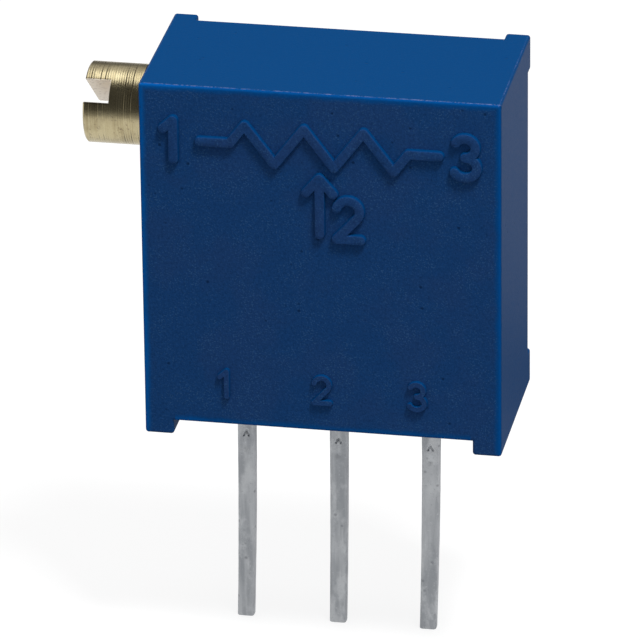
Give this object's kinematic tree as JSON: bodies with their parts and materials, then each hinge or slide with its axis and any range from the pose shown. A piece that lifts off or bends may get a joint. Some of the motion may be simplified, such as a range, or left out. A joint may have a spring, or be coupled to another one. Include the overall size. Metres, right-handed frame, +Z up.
{
  "type": "trimmer potentiometer",
  "caption": "Square side-adjusted multi-turn trimmer potentiometer: blue box housing with foot rails and corner pads, slotted brass screw at one side, flat in-line pins below.",
  "frame": {"origin": "centre of the terminal row on the plane that the feet stand on, which is the board's surface", "axes": "+Z up along the body's height, away from the board; +Y to the back, through the body's thickness; the adjustment screw points to -X, and the terminals lie along X"},
  "size_m": [0.0111, 0.0048, 0.0164],
  "materials": {
    "housing_plastic": "moulded, fine grain, matte",
    "screw_brass": "turned, bright",
    "seal_rubber": "plain",
    "clip_steel": "stamped",
    "wheel_plastic": "moulded, natural",
    "spring_alloy": "stamped spring alloy",
    "brush_alloy": "fine formed strip",
    "alumina": "fired, matte",
    "track_film": "printed and fired cermet film",
    "conductor_film": "printed and fired silver film",
    "terminal_tin": "tinned, satin",
    "solder": "reflowed",
    "epoxy": "cast, satin"
  },
  "bodies": {
    "case": {"housing": "housing_plastic", "shaft_seal": "seal_rubber", "screw_retainer": "clip_steel", "ceramic_substrate": "alumina", "resistive_track": "track_film", "collector_ring": "conductor_film", "end_conductor_1": "conductor_film", "end_conductor_3": "conductor_film", "terminal_1": "terminal_tin", "terminal_2": "terminal_tin", "terminal_3": "terminal_tin", "solder_joint_1": "solder", "solder_joint_2": "solder", "solder_joint_3": "solder", "epoxy_fill": "epoxy"},
    "screw": {"adjustment_screw": "screw_brass"},
    "wheel": {"worm_wheel": "wheel_plastic", "wiper_spring": "spring_alloy", "track_brush": "brush_alloy", "collector_brush": "brush_alloy"}
  },
  "joints": [
    {"name": "screw_turn", "type": "hinge", "parent": "case", "child": "screw", "pos_m": [0, -0.00115, 0.00888], "axis": [1, 0, 0], "range_deg": [-4500, 4500]},
    {"name": "wheel_turn", "type": "hinge", "parent": "case", "child": "wheel", "pos_m": [0, -0.00115, 0.00496], "axis": [0, 1, 0], "range_deg": [-140.7, 140.7]}
  ],
  "couplings": [
    {"joint": "wheel_turn", "follows": "screw_turn", "ratio": 0.03125}
  ]
}
